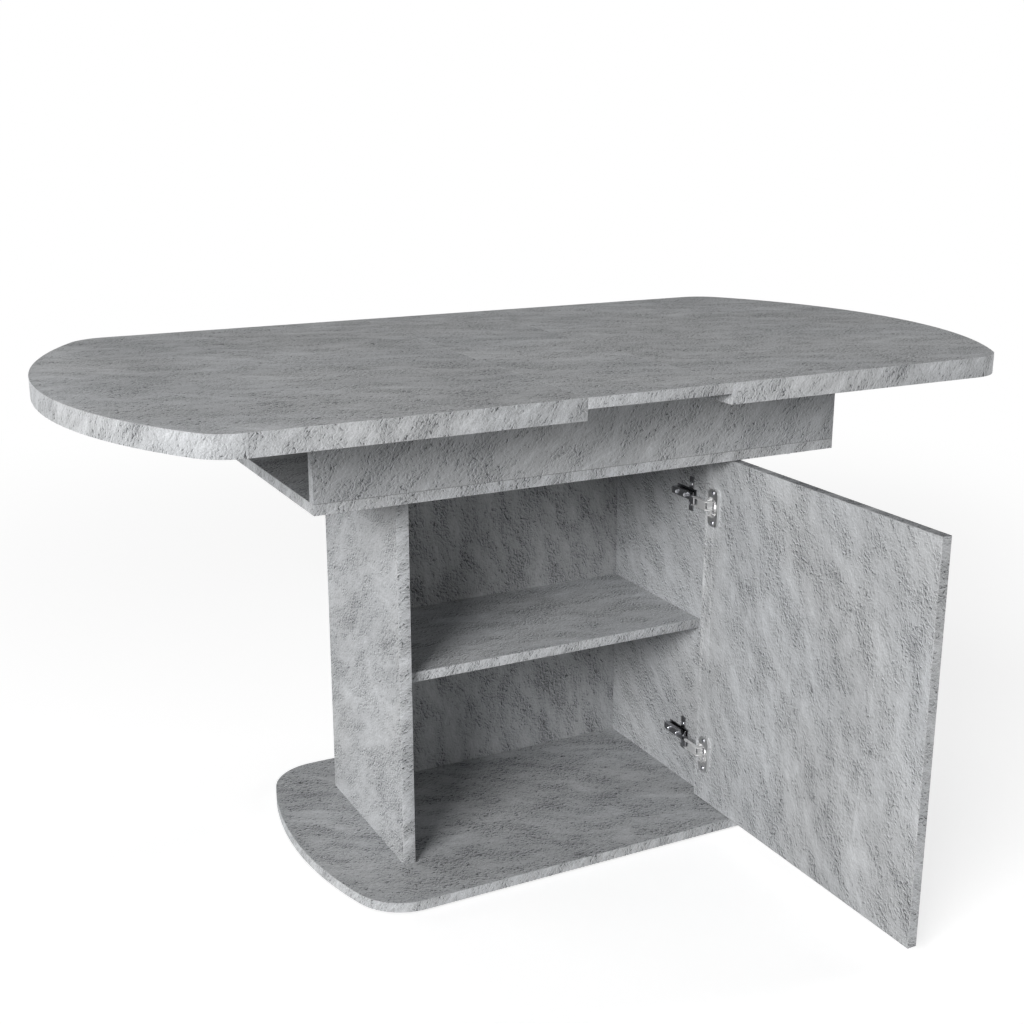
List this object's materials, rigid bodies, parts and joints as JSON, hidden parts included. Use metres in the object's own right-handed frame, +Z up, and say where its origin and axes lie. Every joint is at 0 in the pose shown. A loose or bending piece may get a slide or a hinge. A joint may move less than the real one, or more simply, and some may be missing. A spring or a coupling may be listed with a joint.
{
  "type": "kitchen table with storage cabinet",
  "caption": "Pedestal kitchen table in grey concrete-look board with a removable leaf, sliding top halves and a one-door cabinet in its base.",
  "frame": {"origin": "on the floor, at the middle of the centre glide under the base plate", "axes": "+X along the table's length, +Z up, -Y towards the cabinet's door side"},
  "size_m": [1.4444, 1.0524, 0.76],
  "materials": {
    "concrete_board": "matte concrete-look melamine with mottling and fine scratches",
    "edge_band": "smooth satin grey edge band",
    "hinge_steel": "nickel plated",
    "screw_steel": "zinc plated",
    "rail_aluminium": "mill finish, satin",
    "nylon": "black nylon",
    "felt": "dark grey felt",
    "raw_wood": "planed pine, unfinished"
  },
  "bodies": {
    "cabinet": {"back_guide_rail": "rail_aluminium", "back_panel": "concrete_board", "base_edge_band": "edge_band", "base_plate": "concrete_board", "box_back_panel": "concrete_board", "box_floor": "concrete_board", "box_floor_edge_band": "edge_band", "box_front_panel": "concrete_board", "box_panel_end_bands": "edge_band", "cabinet_edge_bands": "edge_band", "carcass_screws": "screw_steel", "floor_glides": "felt", "front_guide_rail": "rail_aluminium", "guide_rail_stops": "nylon", "hinge_adjusting_screws": "screw_steel", "hinge_nose_pins": "hinge_steel", "hinge_plate_screws": "screw_steel", "leaf_rest_pads": "felt", "left_cross_rail": "raw_wood", "left_side_panel": "concrete_board", "lower_hinge_arm": "hinge_steel", "lower_mounting_plate": "hinge_steel", "right_cross_rail": "raw_wood", "right_side_panel": "concrete_board", "shelf": "concrete_board", "shelf_pins": "screw_steel", "upper_hinge_arm": "hinge_steel", "upper_mounting_plate": "hinge_steel"},
    "door": {"door_panel": "concrete_board", "door_edge_band": "edge_band", "upper_hinge_cup": "hinge_steel", "lower_hinge_cup": "hinge_steel", "hinge_cup_pins": "hinge_steel", "hinge_cup_screws": "screw_steel"},
    "upper_hinge_link": {"upper_hinge_link": "hinge_steel"},
    "lower_hinge_link": {"lower_hinge_link": "hinge_steel"},
    "left_half": {"left_back_runner": "rail_aluminium", "left_front_runner": "rail_aluminium", "left_glide_shoes": "nylon", "left_top_back_strip": "concrete_board", "left_top_board": "concrete_board", "left_top_edge_band": "edge_band", "left_top_end_block": "concrete_board", "left_top_front_strip": "concrete_board"},
    "right_half": {"right_back_runner": "rail_aluminium", "right_front_runner": "rail_aluminium", "right_glide_shoes": "nylon", "right_top_back_strip": "concrete_board", "right_top_board": "concrete_board", "right_top_edge_band": "edge_band", "right_top_end_block": "concrete_board", "right_top_front_strip": "concrete_board"},
    "leaf": {"extension_leaf": "concrete_board", "leaf_edge_bands": "edge_band", "leaf_cleats": "raw_wood"}
  },
  "joints": [
    {"name": "door_hinge", "type": "hinge", "parent": "cabinet", "child": "door", "pos_m": [0.2592, -0.1482, 0.31], "axis": [0, 0, 1], "range_deg": [-90, 5]},
    {"name": "upper_link_pivot", "type": "hinge", "parent": "door", "child": "upper_hinge_link", "pos_m": [0.2452, -0.1684, 0.518], "axis": [0, 0, 1], "range_deg": [-5, 78]},
    {"name": "lower_link_pivot", "type": "hinge", "parent": "door", "child": "lower_hinge_link", "pos_m": [0.2452, -0.1684, 0.103], "axis": [0, 0, 1], "range_deg": [-5, 78]},
    {"name": "left_half_slide", "type": "slide", "parent": "cabinet", "child": "left_half", "axis": [-1, 0, 0], "range_m": [0, 0.03]},
    {"name": "right_half_slide", "type": "slide", "parent": "cabinet", "child": "right_half", "axis": [1, 0, 0], "range_m": [0, 0.03]},
    {"name": "leaf_lift", "type": "slide", "parent": "cabinet", "child": "leaf", "axis": [0, 0, 1], "range_m": [0, 0.15]}
  ],
  "couplings": [
    {"joint": "upper_link_pivot", "follows": "door_hinge", "ratio": -0.85},
    {"joint": "lower_link_pivot", "follows": "door_hinge", "ratio": -0.85}
  ]
}
